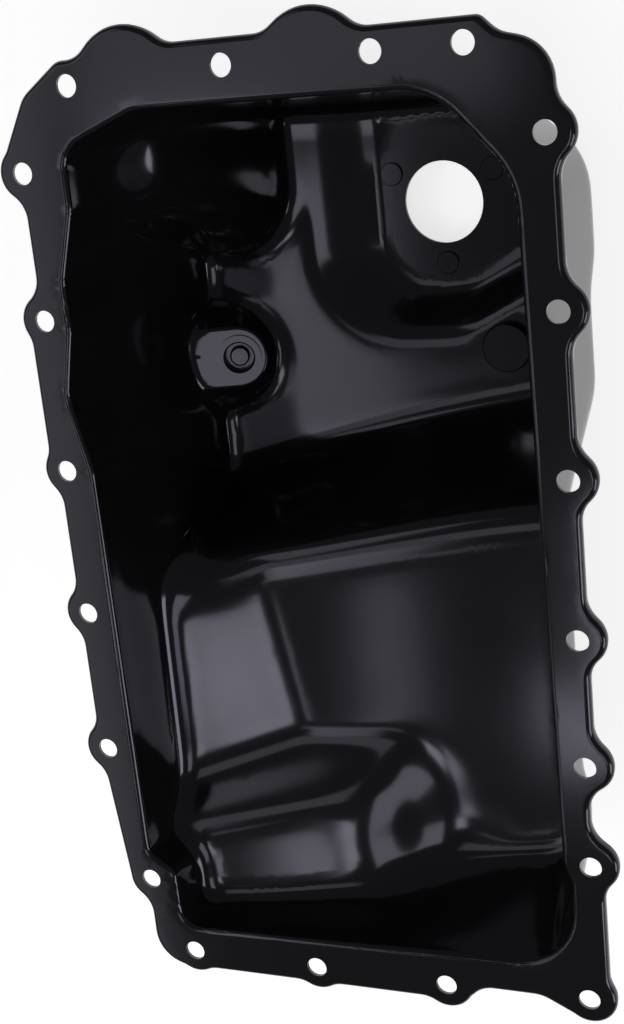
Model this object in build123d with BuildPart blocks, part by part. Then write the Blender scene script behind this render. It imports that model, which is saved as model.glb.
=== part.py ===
from build123d import *
import os
from math import cos, radians, sin

# Engine oil pan. One deep-drawn steel sheet: a flat bolting flange with a rolled edge, a deep
# sump under one half and a shallow shelf under the other. A threaded drain bush is welded into
# a raised boss in the sump, and three weld studs stand round the hole for the level sensor.
# The gasket face is Z = 0, the pan opens upwards, and the origin is the middle of the bolt frame.

os.makedirs("parts", exist_ok=True)

# The sheet
sheet = 1.6
mouth_bend = 2.4
lip_height = 5.0
lip_bend = 2.6
flange_hollow = 12.0

# Bolt holes
bolt_hole_r = 4.5
column_x = 108.4
row_y = 193.8
left_pitch = 64.5
right_pitch = 64.3
top_pitch = 60.0
bottom_pitch = 60.2
lower_right_pitch = 44.0
left_row_y = 1.65
right_row_y = 32.5
lower_right_y = -107.7
top_row_x = 14.4
bottom_row_x = -17.8
shoulder_hole = (-108.6, 158.7)
corner_holes = [(-82.9, 191.3), (79.5, 193.9)]
right_shoulder_hole = (107.3, 160.9)
foot_holes = [(-95.7, -159.1), (104.7, -191.5)]

# Flange ears
ear_r = 11.3
bump_r = 23.0
bump_points = [(-57.5, 189.3), (20.5, 189.3)]

# Depths under the gasket face
sump_depth = 108.0
pocket_drop = 13.0
shelf_depth = 45.0
corner_ledge_depth = 30.0
die_spare = 29.0
die_x = 220.0
die_y = 400.0
pad_depth = sump_depth + pocket_drop
die_depth = pad_depth + die_spare

# Sensor port in the sump floor
sensor_x = 27.9
sensor_y = 123.5
sensor_bore_r = 18.0
stud_circle_r = 26.8
stud_count = 3
stud_turn = 30.0
stud_head_r = 5.2
stud_head_height = 0.9
stud_head_edge = 0.4
stud_neck_r = 3.4
stud_r = 3.0
stud_length = 16.0
stud_tip = 0.6

# Drain boss, bush, plug and seal ring
drain_x = -68.5
drain_y = 60.6
drain_rise = 11.0
drain_tilt = 20.0
boss_r = 14.0
boss_shift = 1.0
boss_run = 60.0
boss_slope = 38.0
boss_drop = 30.0
bush_r = 10.3
bush_bore_r = 6.7
bush_edge = 0.7
bush_rise = 1.2
bush_length = 12.0
collar_r = 11.0
collar = 2.2
plug_sink = 2.6
plug_tip_r = 4.6
plug_tip = 2.4
plug_flange_r = 10.8
plug_flange = 2.8
plug_across_flats = 17.0
plug_head = 8.0
plug_edge = 0.8
seal_r = 10.4
seal_bore_r = 7.3
seal = 1.5
thread_play = 0.1
drain_depth = sump_depth - drain_rise

# Chip magnet on the sump floor
magnet_x = 56.8
magnet_y = 61.0
magnet_r = 10.9
magnet_height = 4.0
magnet_edge = 0.6

# Facets of the shelf: a point on each with its height over the shelf, and how it rises along X and Y
left_facet = (-38.0, -68.0, 0.0)
left_facet_rise = (-0.176, -0.029)
step_face = (-85.8, -120.4, 8.5)
step_face_rise = (0.039, -0.6655)
step_top = (-76.0, -144.0, 23.0)
step_top_rise = (-0.1068, -0.0467)
step_end = (10.0, -130.0, 12.0)
step_end_rise = (-0.7, 0.0)

# Where the die's features part, for choosing their edges
pocket_y = 50.0
strip_x = -35.0
brow_south = -60.0
brow_north = 15.0
same = 0.01

# Bends inside the pan
shelf_edge_bend = 15.0
shelf_foot_bend = 9.0
crease_bend = 20.0
corner_edge_bend = 13.0
corner_foot_bend = 7.0
pocket_edge_bend = 10.0
pocket_foot_bend = 8.0
boss_edge_bend = 2.6
boss_foot_bend = 3.5
wall_foot_bend = 3.0

# Outlines, counter-clockwise from above: X, Y and the corner's radius
flange_outline = [
    (-98.2, -203.2, 16),
    (49.9, -201.4, 0),
    (58.5, -193.6, 12),
    (84.0, -193.4, 14),
    (99.8, -201.4, 0),
    (113.2, -191.5, 0),
    (113.2, -129.7, 0),
    (109.0, -129.7, 0),
    (109.0, -85.7, 0),
    (112.2, -85.7, 0),
    (112.2, 96.8, 0),
    (111.6, 96.8, 0),
    (111.6, 192.0, 17),
    (92.0, 196.8, 12),
    (85.6, 203.1, 4),
    (20.5, 203.0, 0),
    (20.5, 204.0, 0),
    (-57.5, 203.9, 0),
    (-57.5, 201.2, 0),
    (-87.0, 201.0, 8),
    (-104.5, 188.5, 14),
    (-117.5, 164.5, 4),
    (-110.5, 150.0, 0),
    (-110.5, 98.4, 0),
    (-116.8, 98.4, 0),
    (-116.8, 33.9, 0),
    (-113.3, 33.9, 0),
    (-113.3, -95.1, 0),
    (-106.9, -160.0, 0),
    (-98.2, -160.0, 0),
]
mouth_outline = [
    (-83.0, -182.3, 9),
    (98.5, -178.3, 26),
    (99.8, -139.0, 10),
    (96.6, -131.0, 10),
    (95.0, 146.0, 32),
    (66.0, 179.5, 32),
    (-56.0, 180.0, 22),
    (-88.8, 167.0, 12),
    (-88.8, 143.0, 24),
    (-97.0, 114.0, 24),
    (-97.0, 93.0, 20),
    (-102.8, 66.0, 25),
    (-95.8, 34.0, 20),
    (-95.4, -146.5, 6),
    (-83.3, -154.5, 7),
]
deep_outline = [
    (-71.5, -169.0, 8),
    (97.3, -96.0, 14),
    (98.6, -72.0, 10),
    (95.4, -62.0, 10),
    (94.0, 141.0, 32),
    (63.0, 167.0, 32),
    (-50.0, 167.5, 22),
    (-77.0, 157.0, 12),
    (-77.0, 141.0, 18),
    (-85.0, 113.0, 22),
    (-85.0, 94.0, 18),
    (-88.5, 65.0, 22),
    (-84.2, 36.0, 18),
    (-83.8, -140.0, 8),
    (-73.0, -148.0, 8),
]
corner_top = [(-71.0, 240.0, 0), (-140.0, 240.0, 0), (-140.0, 116.0, 0), (-67.0, 147.0, 14)]
corner_foot = [(-39.5, 240.0, 0), (-140.0, 240.0, 0), (-140.0, 108.0, 0), (-39.5, 108.0, 26)]
pocket_top = [
    (140.0, 240.0, 0),
    (-31.0, 240.0, 0),
    (-31.0, 66.0, 38),
    (36.0, 66.5, 30),
    (66.0, 84.0, 25),
    (140.0, 84.0, 0),
]
pocket_foot = [
    (140.0, 240.0, 0),
    (-2.0, 240.0, 0),
    (-2.0, 85.0, 22),
    (42.0, 85.5, 30),
    (70.0, 98.0, 25),
    (140.0, 98.0, 0),
]

# The brow over the sump, where the shelf ends: one curve high up and one at the sump floor
brow_z = -15.0
brow_high = [(-140.0, -20.0), (-40.0, -29.0), (50.0, -15.0), (140.0, -11.0)]
brow_low = [(-140.0, -16.0), (-40.0, 13.5), (50.0, 34.5), (140.0, 46.0)]


def grown(corners, out):
    """Corner points of the outline with every side moved outwards by out."""
    points = [Vector(x, y) for x, y, r in corners]
    moved = []
    for i, here in enumerate(points):
        before = (here - points[i - 1]).normalized()
        after = (points[(i + 1) % len(points)] - here).normalized()
        normal_before = Vector(before.Y, -before.X)
        normal_after = Vector(after.Y, -after.X)
        share = out / (1 + normal_before.dot(normal_after))
        moved.append(here + (normal_before + normal_after) * share)
    return moved


def grown_radii(corners, out):
    """Corner radii of the grown outline: larger where it turns outwards, smaller where it turns in."""
    points = [Vector(x, y) for x, y, r in corners]
    radii = []
    for i, (x, y, r) in enumerate(corners):
        before = points[i] - points[i - 1]
        after = points[(i + 1) % len(points)] - points[i]
        outward = before.cross(after).Z > 0
        radii.append(r + out if r and outward else r - out if r else 0)
    return radii


def ruled_block(top, top_z, foot, foot_z, out):
    """A solid whose straight walls run from one outline to the other, both grown by out."""
    with BuildPart() as block:
        for corners, z in ((foot, foot_z), (top, top_z)):
            with BuildSketch(Plane.XY.offset(z)):
                with BuildLine():
                    FilletPolyline(*grown(corners, out), radius=grown_radii(corners, out), close=True)
                make_face()
        loft(ruled=True)
    return block.part


def brow_block(out):
    """The mass under the shelf, whose curved north wall falls to the sump floor."""
    with BuildPart() as block:
        for curve, z in ((brow_low, -sump_depth - out), (brow_high, brow_z)):
            with BuildSketch(Plane.XY.offset(z)):
                with BuildLine():
                    brow = Spline([(x, y - out) for x, y in curve])
                    Polyline(brow @ 0, (-die_x, -die_y), (die_x, -die_y), brow @ 1)
                make_face()
        loft(ruled=True)
    return block.part


def mass_under(plane):
    """Everything under a plane, as a block larger than the pan."""
    with BuildPart() as block:
        with BuildSketch(plane):
            Rectangle(3 * die_x, 2 * die_y)
        extrude(amount=-2 * die_depth)
    return block.part


def facet(point, rise, out):
    """The plane through a point that rises by rise[0] along X and rise[1] along Y, sunk by out."""
    foot = (point[0], point[1], point[2] - shelf_depth)
    slope = Plane(origin=foot, x_dir=Vector(1, 0, rise[0]), z_dir=Vector(-rise[0], -rise[1], 1))
    return slope.offset(-out)


def drain_plane(lift):
    """The plane across the drain's axis at a height over the boss's land, inside the pan."""
    tilt = radians(drain_tilt)
    land = Plane(
        origin=(drain_x, drain_y, -drain_depth),
        x_dir=(cos(tilt), 0, -sin(tilt)),
        z_dir=(sin(tilt), 0, cos(tilt)),
    )
    return land.offset(lift)


def on_side(edge):
    """True for an edge in one of the die's four outer sides."""
    box = edge.bounding_box()
    across_x = box.size.X < same and abs(abs(box.max.X) - die_x / 2) < same
    across_y = box.size.Y < same and abs(abs(box.max.Y) - die_y / 2) < same
    return across_x or across_y


def is_crease(edge):
    """True for an edge between two facets of the shelf."""
    return not on_side(edge) and edge.center().Y < 0 and edge.bounding_box().min.Z > -sump_depth / 2


def is_brow(edge):
    """True for an edge between the shelf and the curved wall that falls to the sump floor."""
    box = edge.bounding_box()
    in_band = box.min.Y > brow_south and box.max.Y < brow_north
    return in_band and not on_side(edge) and box.min.Z > -sump_depth / 2


def level(edges, z):
    """The edges that lie level at height z, apart from those in the die's sides."""
    at_z = edges.filter_by_position(Axis.Z, z - same, z + same)
    return at_z.filter_by(lambda edge: edge.bounding_box().size.Z < same and not on_side(edge))


def shelf_mass(out):
    """The ground under the shelf: a flat, a tilted facet on the left and a raised step at the end."""
    with BuildPart() as step:
        add(mass_under(facet(step_face, step_face_rise, out)))
        add(mass_under(facet(step_top, step_top_rise, out)), mode=Mode.INTERSECT)
        add(mass_under(facet(step_end, step_end_rise, out)), mode=Mode.INTERSECT)
    with BuildPart() as shelf:
        add(mass_under(Plane.XY.offset(-shelf_depth - out)))
        add(mass_under(facet(left_facet, left_facet_rise, out)))
        add(step.part)
        add(brow_block(out), mode=Mode.INTERSECT)
    return shelf.part


def drain_boss(out):
    """The raised boss: a tilted land with a round end, which runs to the pan's left wall."""
    r = boss_r - out / 2
    with BuildPart() as boss:
        with BuildSketch(drain_plane(-out)):
            with Locations((-boss_shift, 0)):
                Circle(r)
            with Locations((-boss_shift - boss_run / 2, 0)):
                Rectangle(boss_run, 2 * r)
        extrude(amount=-boss_drop, taper=-boss_slope)
        land = boss.faces().sort_by(Axis(drain_plane(0).origin, drain_plane(0).z_dir))[-1]
        fillet(land.edges().filter_by(lambda edge: edge.center().X > drain_x - boss_run), boss_edge_bend - out / 2)
    return boss.part


def die_ground(out):
    """The press's lower form: floor, sensor pocket, corner block, shelf and drain boss, all rounded."""
    floor_z = -sump_depth - out
    pad_z = -pad_depth - out
    ledge_z = -corner_ledge_depth - out
    with BuildPart() as ground:
        with BuildSketch(Plane.XY.offset(floor_z)):
            Rectangle(die_x, die_y)
        extrude(amount=floor_z + die_depth, dir=(0, 0, -1))
        add(ruled_block(pocket_top, floor_z, pocket_foot, pad_z, out), mode=Mode.SUBTRACT)
        add(ruled_block(corner_top, ledge_z, corner_foot, floor_z, -out))
        add(shelf_mass(out))
        with BuildSketch(Plane.XY.offset(-die_depth)):
            Rectangle(die_x, die_y)
        extrude(amount=die_depth, mode=Mode.INTERSECT)

        fillet(ground.edges().filter_by(GeomType.LINE).filter_by(is_crease), crease_bend)
        fillet(ground.edges().filter_by(GeomType.BSPLINE).filter_by(is_brow), shelf_edge_bend - out)
        at_floor = level(ground.edges(), floor_z)
        fillet(at_floor.filter_by_position(Axis.Y, -die_y, pocket_y), shelf_foot_bend + out)
        at_floor = level(ground.edges(), floor_z).filter_by_position(Axis.Y, pocket_y, die_y)
        fillet(at_floor.filter_by_position(Axis.X, -die_x, strip_x), corner_foot_bend + out)
        fillet(at_floor.filter_by_position(Axis.X, strip_x, die_x), pocket_edge_bend - out)
        fillet(level(ground.edges(), ledge_z), corner_edge_bend - out)
        fillet(level(ground.edges(), pad_z), pocket_foot_bend + out)
        add(drain_boss(out))
        fillet(level(ground.edges(Select.NEW), floor_z), boss_foot_bend + out)
    return ground.part


def room(out):
    """The space inside the pan, with all its faces moved out by out: 0 is the sheet's inner face."""
    with BuildPart() as space:
        add(ruled_block(mouth_outline, 0, deep_outline, -pad_depth - out, out))
        add(die_ground(out), mode=Mode.SUBTRACT)
        wall_foot = space.edges(Select.NEW)
        fillet(wall_foot, wall_foot_bend + out)
    return space.part


def row(centre, count, pitch):
    """Positions of count holes at one pitch, with their middle at centre."""
    return [centre + (i - (count - 1) / 2) * pitch for i in range(count)]


# Bolt holes
bolt_points = [(-column_x, y) for y in row(left_row_y, 4, left_pitch)]
bolt_points += [(column_x, y) for y in row(right_row_y, 3, right_pitch)]
bolt_points += [(column_x, y) for y in row(lower_right_y, 2, lower_right_pitch)]
bolt_points += [(x, row_y) for x in row(top_row_x, 2, top_pitch)]
bolt_points += [(x, -row_y) for x in row(bottom_row_x, 3, bottom_pitch)]
bolt_points += [shoulder_hole, right_shoulder_hole, *foot_holes, *corner_holes]
eared_points = [point for point in bolt_points if point not in corner_holes and point[1] != row_y]

# The flange, seen from above
with BuildSketch() as flange_face:
    with BuildLine():
        corners = [(x, y) for x, y, r in flange_outline]
        FilletPolyline(*corners, radius=[r for x, y, r in flange_outline], close=True)
    make_face()
    with Locations(*eared_points):
        Circle(ear_r)
    with Locations(*bump_points):
        Circle(bump_r)
    offset(amount=flange_hollow, kind=Kind.ARC)
    offset(amount=-flange_hollow, kind=Kind.ARC)

# The pressed sheet: the flange with its rolled lip, joined to the tub that hangs from it
inner_room = room(0)
outer_room = room(sheet)
with BuildPart() as pan_shell:
    add(flange_face.sketch)
    extrude(amount=-lip_height)
    fillet(pan_shell.edges().group_by(Axis.Z)[-1], lip_bend)
    with BuildSketch(Plane.XY.offset(-lip_height)):
        add(flange_face.sketch)
        offset(amount=-sheet, kind=Kind.ARC)
    extrude(amount=lip_height - sheet, mode=Mode.SUBTRACT)
    add(outer_room)
    add(inner_room, mode=Mode.SUBTRACT)
    gasket_face = pan_shell.faces().filter_by(Axis.Z).sort_by(Axis.Z)[-1]
    fillet(gasket_face.inner_wires()[0].edges(), mouth_bend)
    with Locations(*bolt_points):
        Hole(bolt_hole_r, depth=lip_height)
    with BuildSketch(Plane.XY.offset(-pad_depth)):
        with Locations((sensor_x, sensor_y)):
            Circle(sensor_bore_r)
            with PolarLocations(stud_circle_r, stud_count, start_angle=stud_turn):
                Circle(stud_neck_r)
    extrude(amount=2 * sheet, both=True, mode=Mode.SUBTRACT)
    with BuildSketch(drain_plane(0)):
        Circle(bush_r)
    extrude(amount=2 * sheet, both=True, mode=Mode.SUBTRACT)
pan_shell.part.label = "pan_shell"
export_step(pan_shell.part, "parts/pan_shell.step")

# The threaded bush, welded into the boss with its collar against the outside
with BuildPart() as drain_bush:
    with BuildSketch(drain_plane(bush_rise)):
        Circle(bush_r)
    extrude(amount=-bush_length)
    with BuildSketch(drain_plane(-sheet)):
        Circle(collar_r)
    extrude(amount=-collar)
    with BuildSketch(drain_plane(bush_rise)):
        Circle(bush_bore_r)
    extrude(amount=-bush_length, mode=Mode.SUBTRACT)
    rims = drain_bush.edges().filter_by(GeomType.CIRCLE)
    chamfer(rims.filter_by(lambda edge: edge.radius < bush_r), bush_edge)
drain_bush.part.label = "drain_bush"
export_step(drain_bush.part, "parts/drain_bush.step")

# The drain plug: a stepped tip inside the bush, and a flanged hexagon head below
plug_r = bush_bore_r - thread_play
bush_end = bush_rise - bush_length
with BuildPart() as drain_plug:
    with BuildSketch(drain_plane(bush_rise - plug_sink)):
        Circle(plug_tip_r)
    extrude(amount=-plug_tip)
    with BuildSketch(drain_plane(bush_rise - plug_sink - plug_tip)):
        Circle(plug_r)
    extrude(amount=bush_end - seal - (bush_rise - plug_sink - plug_tip))
    with BuildSketch(drain_plane(bush_end - seal)):
        Circle(plug_flange_r)
    extrude(amount=-plug_flange)
    with BuildSketch(drain_plane(bush_end - seal - plug_flange)):
        RegularPolygon(plug_across_flats / 2, 6, major_radius=False)
    extrude(amount=-plug_head)
    ends = drain_plug.faces().sort_by(Axis(drain_plane(0).origin, drain_plane(0).z_dir))
    chamfer(ends[-1].edges(), plug_edge)
drain_plug.part.label = "drain_plug"
export_step(drain_plug.part, "parts/drain_plug.step")

# The soft metal ring that seals the plug against the bush
with BuildPart() as drain_seal:
    with BuildSketch(drain_plane(bush_end)):
        Circle(seal_r)
        Circle(seal_bore_r, mode=Mode.SUBTRACT)
    extrude(amount=-seal)
drain_seal.part.label = "drain_seal"
export_step(drain_seal.part, "parts/drain_seal.step")

# Weld studs for the level sensor: flat heads inside the pan, shanks down through the sheet
for number in range(stud_count):
    turn = radians(stud_turn + number * 360 / stud_count)
    x = sensor_x + stud_circle_r * cos(turn)
    y = sensor_y + stud_circle_r * sin(turn)
    with BuildPart() as sensor_stud:
        with BuildSketch(Plane((x, y, -pad_depth))):
            Circle(stud_head_r)
        extrude(amount=stud_head_height)
        chamfer(sensor_stud.edges().group_by(Axis.Z)[-1], stud_head_edge)
        with BuildSketch(Plane((x, y, -pad_depth))):
            Circle(stud_neck_r)
        extrude(amount=-sheet)
        with BuildSketch(Plane((x, y, -pad_depth))):
            Circle(stud_r)
        extrude(amount=-stud_length)
        chamfer(sensor_stud.edges().group_by(Axis.Z)[0], stud_tip)
    sensor_stud.part.label = f"sensor_stud_{number + 1}"
    export_step(sensor_stud.part, f"parts/sensor_stud_{number + 1}.step")

# The magnet that holds iron dust on the sump floor
with BuildPart() as chip_magnet:
    with BuildSketch(Plane((magnet_x, magnet_y, -sump_depth))):
        Circle(magnet_r)
    extrude(amount=magnet_height)
    chamfer(chip_magnet.edges().group_by(Axis.Z)[-1], magnet_edge)
chip_magnet.part.label = "chip_magnet"
export_step(chip_magnet.part, "parts/chip_magnet.step")
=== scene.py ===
import math

import bmesh
import bpy
import numpy as np
from mathutils import Matrix, Vector


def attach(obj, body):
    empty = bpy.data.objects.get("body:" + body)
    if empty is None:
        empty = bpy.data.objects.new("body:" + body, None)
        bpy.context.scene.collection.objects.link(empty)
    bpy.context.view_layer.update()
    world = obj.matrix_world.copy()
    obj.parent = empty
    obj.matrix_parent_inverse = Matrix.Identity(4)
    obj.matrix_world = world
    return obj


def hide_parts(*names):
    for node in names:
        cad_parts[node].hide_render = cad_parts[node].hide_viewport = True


# Engine oil pan of pressed steel, dipped in glossy black primer, with its drain plug, weld studs and magnet.
# Everything is in metres. The gasket face is Z = 0 and the pan opens upwards.

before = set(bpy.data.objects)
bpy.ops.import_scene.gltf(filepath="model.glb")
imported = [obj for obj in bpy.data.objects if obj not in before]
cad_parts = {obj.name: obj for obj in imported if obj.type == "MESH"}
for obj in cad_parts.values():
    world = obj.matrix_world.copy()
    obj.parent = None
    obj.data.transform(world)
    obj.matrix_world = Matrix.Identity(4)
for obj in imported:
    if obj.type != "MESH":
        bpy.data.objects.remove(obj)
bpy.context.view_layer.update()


def linear(hex_colour):
    """A colour written as sRGB hex, as the linear values that a shader takes."""
    values = [int(hex_colour[i:i + 2], 16) / 255 for i in (1, 3, 5)]
    return tuple(v / 12.92 if v <= 0.04045 else ((v + 0.055) / 1.055) ** 2.4 for v in values) + (1.0,)


def add_node(tree, kind, inputs=None, **settings):
    """One shader node. inputs gives each socket a value, or a pair of node and output name to link."""
    node = tree.nodes.new(kind)
    for name, value in settings.items():
        setattr(node, name, value)
    for socket, value in (inputs or {}).items():
        if isinstance(value, tuple) and isinstance(value[0], bpy.types.Node):
            tree.links.new(value[0].outputs[value[1]], node.inputs[socket])
        else:
            node.inputs[socket].default_value = value
    return node


def new_material(name):
    """An empty material with its output node."""
    material = bpy.data.materials.new(name)
    material.use_nodes = True
    tree = material.node_tree
    tree.nodes.clear()
    return material, tree, add_node(tree, "ShaderNodeOutputMaterial")


# Materials. Noise scales are in patterns per metre: 420 is one about every 2.4 mm.
violet_gloss = linear("#ece9ff")


def black_primer():
    """Electrophoretic black primer on pressed steel: smooth and glossy, so the eye sees what it mirrors. Its
    orange peel is about 2.4 mm across, and its gloss wanders a little over every 22 mm."""
    material, tree, output = new_material("black_primer")
    place = add_node(tree, "ShaderNodeTexCoord")
    peel = add_node(tree, "ShaderNodeTexNoise", {"Vector": (place, "Object"), "Scale": 420.0, "Detail": 2.0})
    waves = add_node(tree, "ShaderNodeTexNoise", {"Vector": (place, "Object"), "Scale": 45.0, "Detail": 1.0})
    rough = add_node(tree, "ShaderNodeMapRange", {"Value": (waves, "Fac"), "To Min": 0.1, "To Max": 0.13})
    bump = add_node(tree, "ShaderNodeBump", {"Height": (peel, "Fac"), "Strength": 0.02, "Distance": 0.0002})
    coat = add_node(tree, "ShaderNodeBsdfPrincipled", {
        "Base Color": linear("#141416"),
        "Roughness": (rough, "Result"),
        "IOR": 1.5,
        "Specular Tint": violet_gloss,
        "Normal": (bump, "Normal"),
    })
    tree.links.new(coat.outputs["BSDF"], output.inputs["Surface"])
    return material


def grained(name, scale, detail, roughness, settings):
    """A material with one colour, whose roughness wanders between two limits with a fine grain. The grain is
    drawn coarser than the real one, about 1 mm across, so that it shows."""
    material, tree, output = new_material(name)
    place = add_node(tree, "ShaderNodeTexCoord")
    grain = add_node(tree, "ShaderNodeTexNoise",
                     {"Vector": (place, "Object"), "Scale": scale, "Detail": detail})
    rough = add_node(tree, "ShaderNodeMapRange",
                     {"Value": (grain, "Fac"), "To Min": roughness[0], "To Max": roughness[1]})
    surface = add_node(tree, "ShaderNodeBsdfPrincipled", {**settings, "Roughness": (rough, "Result")})
    tree.links.new(surface.outputs["BSDF"], output.inputs["Surface"])
    return material


def give(node, material):
    """Puts one material on a CAD node."""
    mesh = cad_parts[node].data
    mesh.materials.clear()
    mesh.materials.append(material)


primer = black_primer()
for name in ("pan_shell", "drain_bush", "sensor_stud_1", "sensor_stud_2", "sensor_stud_3"):
    give(name, primer)
# Zinc plate on a turned steel plug, coloured a dark grey all over, with a satin shine
give("drain_plug", grained("dark_grey_zinc_plate", 900.0, 2.0, (0.25, 0.42),
                           {"Base Color": linear("#4c4c52"), "Metallic": 1.0}))
# Soft aluminium of the seal ring: pale, and dull from handling
give("drain_seal", grained("crush_ring_aluminium", 700.0, 2.0, (0.35, 0.5),
                           {"Base Color": linear("#d0d0d2"), "Metallic": 1.0}))
# Sintered ferrite of the magnet: nearly black and fine-grained, with little shine
give("chip_magnet", grained("sintered_ferrite", 1500.0, 3.0, (0.3, 0.55),
                            {"Base Color": linear("#0b0b0d"), "Specular IOR Level": 0.2,
                             "Specular Tint": violet_gloss}))

# The pressed sheet, with the soft bends that drawing leaves. The margin is in cells and keeps the blur at one
# end of the sheet from reaching round to the other. Each spot is a centre, the radius inside which it holds
# in full, and the radius where it ends.
same_point = 1e-6
shortest_edge = 0.0006
longest_edge = 0.0065
most_cuts = 8
crease_angle = math.radians(40)
cell = 0.002
margin = 14
bend_spread = 0.0042
deep_bend_spread = 0.011
flange_clear = (0.003, 0.012)
port = ((0.0279, 0.1235, -0.121), 0.033, 0.042)
drain = ((-0.0685, 0.0606, -0.097), 0.017, 0.024)
magnet = ((0.0568, 0.061, -0.108), 0.0125, 0.02)
sharp_spots = [port, drain, magnet]
step_end = ((0.022, -0.135, -0.033), 0.022, 0.05)
corner_ledge = ((-0.085, 0.150, -0.035), 0.012, 0.035)
brow_end = ((-0.075, -0.02, -0.045), 0.008, 0.035)
soft_spots = [step_end, corner_ledge, brow_end]
# A face is level if its normal's Z is more than the first value. A point tells its side by itself if the
# level area round it, counted double, is more than the second, and the rest take steps to learn theirs.
level_slope = 0.3
level_area = 6e-6
side_steps = 150
square_mm = 1e6
tiny = 1e-15


def fine_copy(node):
    """A copy of a node's mesh with its triangles joined, and cut until no edge is long."""
    shape = bmesh.new()
    shape.from_mesh(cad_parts[node].data)
    bmesh.ops.remove_doubles(shape, verts=shape.verts, dist=same_point)
    below = [point for point in shape.verts if point.co.z < -flange_clear[1]
             and all((point.co - Vector(centre)).length > outer for centre, inner, outer in sharp_spots)]
    bmesh.ops.remove_doubles(shape, verts=below, dist=shortest_edge)
    bmesh.ops.dissolve_degenerate(shape, edges=shape.edges, dist=same_point)
    for _ in range(most_cuts):
        long_edges = [edge for edge in shape.edges if edge.calc_length() > longest_edge]
        if not long_edges:
            break
        bmesh.ops.subdivide_edges(shape, edges=long_edges, cuts=1)
        bmesh.ops.triangulate(shape, faces=[face for face in shape.faces if len(face.verts) > 3])
    mesh = bpy.data.meshes.new("pressed_sheet")
    shape.to_mesh(mesh)
    shape.free()
    mesh.polygons.foreach_set("use_smooth", np.ones(len(mesh.polygons), dtype=bool))
    mesh.set_sharp_from_angle(angle=crease_angle)
    mesh.materials.append(primer)
    return mesh


def array_of(collection, name, width, kind=np.float64):
    """One property of a mesh's vertices or corners as an array."""
    flat = np.empty(len(collection) * width, dtype=kind)
    collection.foreach_get(name, flat)
    return flat.reshape(-1, width) if width > 1 else flat


def unit(vectors):
    """Vectors divided by their lengths."""
    return vectors / np.maximum(np.linalg.norm(vectors, axis=1), tiny)[:, None]


def ramp(value, limits):
    """0 below the first limit, 1 above the second, and a smooth S between them."""
    share = np.clip((value - limits[0]) / (limits[1] - limits[0]), 0, 1)
    return share * share * (3 - 2 * share)


def outside(points, spot):
    """0 inside a spot's first radius, 1 outside its second, and a smooth S between them."""
    centre, inner, outer = spot
    return ramp(np.linalg.norm(points - centre, axis=1), (inner, outer))


def near_cells(points, low, counts):
    """The 27 cells round each point and their weights, the products of three quadratic B-splines."""
    place = (points - low) / cell
    middle = np.rint(place).astype(np.int64)
    off = place - middle
    weights = ((0.5 - off) ** 2 / 2, 0.75 - off ** 2, (0.5 + off) ** 2 / 2)
    for i in range(3):
        for j in range(3):
            for k in range(3):
                row = (middle[:, 0] + i - 1) * counts[1] + middle[:, 1] + j - 1
                weight = weights[i][:, 0] * weights[j][:, 1] * weights[k][:, 2]
                yield row * counts[2] + middle[:, 2] + k - 1, weight


def blur(grid, width):
    """A grid after a Gaussian of this width, in cells and cut off at three widths, along its three axes."""
    reach = int(math.ceil(3 * width))
    taps = np.exp(-np.arange(-reach, reach + 1) ** 2 / (2 * width ** 2))
    taps /= taps.sum()
    for axis in range(3):
        total = np.zeros_like(grid)
        for tap, shift in zip(taps, range(-reach, reach + 1)):
            total += tap * np.roll(grid, shift, axis=axis)
        grid = total
    return grid


def softened(points, seeds, values, widths):
    """For each width, each point's mean of the values of the seeds round it, weighted by area and a Gaussian.
    The seeds' values are gathered into cells, the cells are blurred, and the means are read back."""
    low = seeds[:, :3].min(0) - margin * cell
    counts = np.ceil((seeds[:, :3].max(0) - low) / cell).astype(np.int64) + margin
    channels = np.concatenate([np.ones((len(seeds), 1)), values], axis=1) * seeds[:, 3:]
    grids = [np.zeros(counts.prod()) for _ in range(channels.shape[1])]
    for index, weight in near_cells(seeds[:, :3], low, counts):
        for channel, grid in enumerate(grids):
            grid += np.bincount(index, weight * channels[:, channel], len(grid))
    grids = [grid.reshape(counts).astype(np.float32) for grid in grids]
    means, done = [], 0.0
    for width in widths:
        grids = [blur(grid, math.sqrt(width ** 2 - done ** 2) / cell) for grid in grids]
        done = width
        sums = np.zeros((len(points), len(grids)))
        for index, weight in near_cells(points, low, counts):
            for channel, grid in enumerate(grids):
                sums[:, channel] += weight * grid.ravel()[index]
        means.append(sums[:, 1:] / np.maximum(sums[:, :1], tiny))
    return means


def on_upper_side(faces, crossed, twice, count):
    """Whether each point is on the side of the sheet that faces up. Points amid level faces are known by the
    way those face, and each other point takes the mean of its neighbours, weighted by area, many times."""
    corners = faces.ravel()
    slope = np.abs(crossed[:, 2] / np.maximum(twice, tiny))
    plain = np.where(slope > level_slope, crossed[:, 2], 0.0)
    level = np.bincount(corners, np.repeat(plain, 3), count)
    known = np.where(np.abs(level) > level_area, np.sign(level), 0.0)
    around = np.maximum(np.bincount(corners, np.repeat(twice, 3), count), tiny)
    facing = known
    for _ in range(side_steps):
        passed_on = np.bincount(corners, np.repeat(twice * facing[faces].mean(1), 3), count) / around
        facing = np.where(known == 0, passed_on, known)
    return facing > 0


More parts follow.
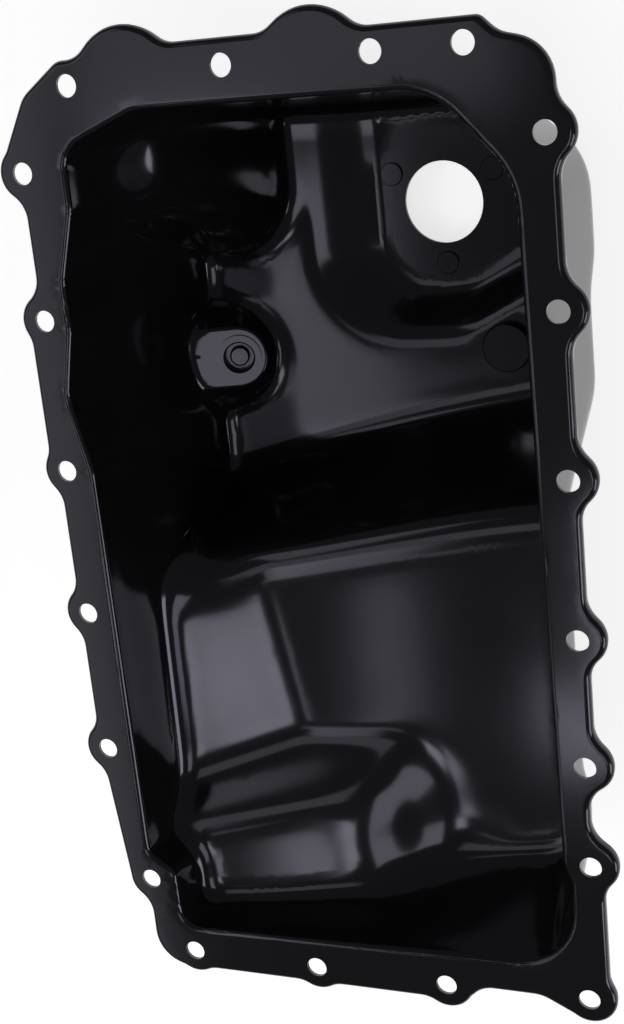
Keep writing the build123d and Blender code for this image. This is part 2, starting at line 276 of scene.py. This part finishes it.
def drawn_sheet():
    """The pan's sheet with its bends softened: each side of the sheet is blurred by itself, in its points
    and in its normals, and blended with the sharp one at the flange, the port, the drain and the magnet."""
    mesh = fine_copy("pan_shell")
    sheet = bpy.data.objects.new("pressed_sheet", mesh)
    bpy.context.scene.collection.objects.link(sheet)
    flats = sheet.modifiers.new("flats_stay_flat", "WEIGHTED_NORMAL")
    flats.keep_sharp = True
    flats.weight = 100
    evaluated = sheet.evaluated_get(bpy.context.evaluated_depsgraph_get())
    sharp_normals = array_of(evaluated.to_mesh().corner_normals, "vector", 3)
    evaluated.to_mesh_clear()
    sheet.modifiers.clear()

    points = array_of(mesh.vertices, "co", 3)
    corners = array_of(mesh.loops, "vertex_index", 1, np.int64)
    faces = corners.reshape(-1, 3)
    crossed = np.cross(points[faces[:, 1]] - points[faces[:, 0]], points[faces[:, 2]] - points[faces[:, 0]])
    twice = np.linalg.norm(crossed, axis=1)
    face_normals = unit(crossed)
    upward = on_upper_side(faces, crossed, twice, len(points))
    face_upward = upward[faces].sum(1) >= 2

    # free is how far a point may leave the sharp shape, and deep how far it takes the wider blur
    free = ramp(-points[:, 2], flange_clear)
    for spot in sharp_spots:
        free = free * outside(points, spot)
    deep = np.zeros(len(points))
    for spot in soft_spots:
        deep = np.maximum(deep, 1 - outside(points, spot))

    soft_points, soft_normals = points.copy(), np.zeros_like(points)
    for side in (True, False):
        # Three seeds for each triangle, halfway from its middle to each corner, with a third of its area
        chosen = face_upward == side
        seeds, values = [], []
        for k in range(3):
            place = (points[faces[chosen]].sum(1) + 3 * points[faces[chosen, k]]) / 6
            seeds.append(np.column_stack([place, twice[chosen] / 6 * square_mm]))
            values.append(np.column_stack([place, face_normals[chosen]]))
        ours = upward == side
        bend, deep_bend = softened(points[ours], np.concatenate(seeds), np.concatenate(values),
                                   (bend_spread, deep_bend_spread))
        mixed = bend + (deep_bend - bend) * deep[ours, None]
        soft_points[ours], soft_normals[ours] = mixed[:, :3], mixed[:, 3:]
    soft_normals = unit(soft_normals)
    points = points + (soft_points - points) * free[:, None]
    normals = unit(sharp_normals + (soft_normals[corners] - sharp_normals) * free[corners, None])

    mesh.vertices.foreach_set("co", points.ravel())
    mesh.update()
    mesh.normals_split_custom_set(normals.tolist())
    return sheet


pressed_sheet = drawn_sheet()
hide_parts("pan_shell")
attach(pressed_sheet, "root")

# Floor and backdrop
floor_z = -0.1375
floor_half = 6.0
floor_glow = 0.75
ambient = 0.12


def white_floor():
    """Matt white studio floor, lifted for the camera and in reflections so that it reads as white."""
    material, tree, output = new_material("white_floor")
    path = add_node(tree, "ShaderNodeLightPath")
    seen = add_node(tree, "ShaderNodeMath", {0: (path, "Is Camera Ray"), 1: (path, "Is Glossy Ray")},
                    operation="MAXIMUM")
    matt = add_node(tree, "ShaderNodeBsdfDiffuse", {"Color": linear("#d8d8d8")})
    glow = add_node(tree, "ShaderNodeEmission", {"Color": linear("#ffffff"), "Strength": floor_glow})
    lift = add_node(tree, "ShaderNodeAddShader", {0: (matt, "BSDF"), 1: (glow, "Emission")})
    both = add_node(tree, "ShaderNodeMixShader",
                    {0: (seen, "Value"), 1: (matt, "BSDF"), 2: (lift, "Shader")})
    tree.links.new(both.outputs["Shader"], output.inputs["Surface"])
    return material


corners = [(-floor_half, -floor_half, floor_z), (floor_half, -floor_half, floor_z),
           (floor_half, floor_half, floor_z), (-floor_half, floor_half, floor_z)]
floor_mesh = bpy.data.meshes.new("floor")
floor_mesh.from_pydata(corners, [], [(0, 1, 2, 3)])
floor_mesh.materials.append(white_floor())
floor = bpy.data.objects.new("floor", floor_mesh)
bpy.context.scene.collection.objects.link(floor)

world = bpy.data.worlds.new("studio")
bpy.context.scene.world = world
world.use_nodes = True
world.node_tree.nodes.clear()
world_out = add_node(world.node_tree, "ShaderNodeOutputWorld")
ray = add_node(world.node_tree, "ShaderNodeLightPath")
white = add_node(world.node_tree, "ShaderNodeBackground", {"Color": linear("#ffffff"), "Strength": 1.0})
dim = add_node(world.node_tree, "ShaderNodeBackground", {"Color": linear("#ffffff"), "Strength": ambient})
sky = add_node(world.node_tree, "ShaderNodeMixShader",
               {0: (ray, "Is Camera Ray"), 1: (dim, "Background"), 2: (white, "Background")})
world.node_tree.links.new(sky.outputs["Shader"], world_out.inputs["Surface"])


def softbox(name, centre, aim, width, height, radiance):
    """A rectangular area lamp of a given radiance, turned to face the point aim."""
    lamp = bpy.data.lights.new(name, "AREA")
    lamp.shape = "RECTANGLE"
    lamp.size = width
    lamp.size_y = height
    lamp.energy = radiance * math.pi * width * height
    holder = bpy.data.objects.new(name, lamp)
    away = (Vector(centre) - Vector(aim)).normalized()
    turned = away.to_track_quat("Z", "Y").to_matrix()
    holder.matrix_world = Matrix.Translation(centre) @ turned.to_4x4()
    holder.visible_camera = False
    bpy.context.scene.collection.objects.link(holder)


def panel(name, x_range, y_range, radiance):
    """A level softbox overhead that spans a range of X and Y and faces straight down."""
    centre = ((x_range[0] + x_range[1]) / 2, (y_range[0] + y_range[1]) / 2, ceiling)
    below = (centre[0], centre[1], 0.0)
    softbox(name, centre, below, x_range[1] - x_range[0], y_range[1] - y_range[0], radiance)


# Each panel is where one field of the pan mirrors it into the camera, at that field's brightness
ceiling = 2.5
panel("key_panel", (-0.49, -0.24), (-1.14, -0.78), 4.2)
panel("step_panel", (-0.66, -0.40), (-1.36, -1.18), 3.4)
panel("strip_panel", (-1.06, -0.94), (-1.42, -0.98), 1.7)
panel("sump_panel", (-1.22, -0.97), (-0.74, -0.06), 1.5)
panel("sump_left_panel", (-1.48, -1.22), (-0.80, 0.03), 2.2)
panel("sump_strip_panel", (-1.22, -1.10), (-0.05, 0.03), 1.9)
panel("sump_side_panel", (-0.97, -0.76), (-0.74, -0.58), 0.9)
panel("land_panel", (0.2, 1.0), (-1.05, -0.1), 2.1)
panel("head_bank", (-1.55, -0.62), (0.0, 0.7), 0.8)
panel("left_bank", (-4.0, -1.62), (-2.2, 2.4), 0.95)
softbox("far_right", (1.9, -0.9, 0.9), (0.0, 0.0, 0.0), 1.0, 0.9, 4.5)

# Camera, where the photograph was taken from
eye = Vector((0.2627, 0.21115, 0.5852))
right = Vector((0.9212, -0.1001, -0.3761)).normalized()
ahead = Vector((-0.3886, -0.2885, -0.8750)).normalized()
up = right.cross(ahead).normalized()
right = ahead.cross(up).normalized()
lens = bpy.data.cameras.new("camera")
lens.lens = 58.62
lens.sensor_width = 36.0
lens.clip_start = 0.01
camera = bpy.data.objects.new("camera", lens)
turned = Matrix((right, up, -ahead)).transposed()
camera.matrix_world = Matrix.Translation(eye) @ turned.to_4x4()
bpy.context.scene.collection.objects.link(camera)
bpy.context.scene.camera = camera

bpy.context.scene.view_settings.view_transform = "Standard"
